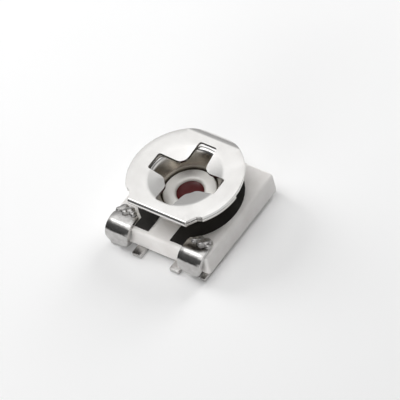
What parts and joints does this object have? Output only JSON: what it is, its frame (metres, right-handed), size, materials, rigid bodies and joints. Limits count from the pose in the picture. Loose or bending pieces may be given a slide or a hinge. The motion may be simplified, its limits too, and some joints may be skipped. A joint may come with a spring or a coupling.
{
  "type": "surface-mount trimmer potentiometer",
  "caption": "Open-frame trimmer: a slotted metal rotor turns on an eyelet over a resistive film on a square ceramic tile with clip terminals.",
  "frame": {"origin": "on the rotor's axis, in the plane of the terminals' solder faces", "axes": "+Z along the rotor's axis, away from the board; the two end terminals point to -Y and the centre terminal to +Y"},
  "size_m": [0.003, 0.0036, 0.0015],
  "materials": {
    "alumina": "fired, unglazed, slightly satin",
    "cermet_film": "fired film, satin black",
    "silver_film": "fired silver film, matte",
    "tinned_sheet": "bright tin plating",
    "solder": "bright reflowed solder",
    "sealing_lacquer": "glossy dark red",
    "plated_steel": "bright nickel plating, lightly brushed"
  },
  "bodies": {
    "base": {"ceramic_substrate": "alumina", "resistive_track": "cermet_film", "left_electrode": "silver_film", "right_electrode": "silver_film", "left_terminal": "tinned_sheet", "right_terminal": "tinned_sheet", "left_solder": "solder", "right_solder": "solder", "centre_terminal": "tinned_sheet", "eyelet_seal": "sealing_lacquer"},
    "rotor": {"rotor": "plated_steel"}
  },
  "joints": [
    {"name": "rotor_turn", "type": "hinge", "parent": "base", "child": "rotor", "pos_m": [0, 0, 0.00151], "axis": [0, 0, 1], "continuous": true}
  ]
}
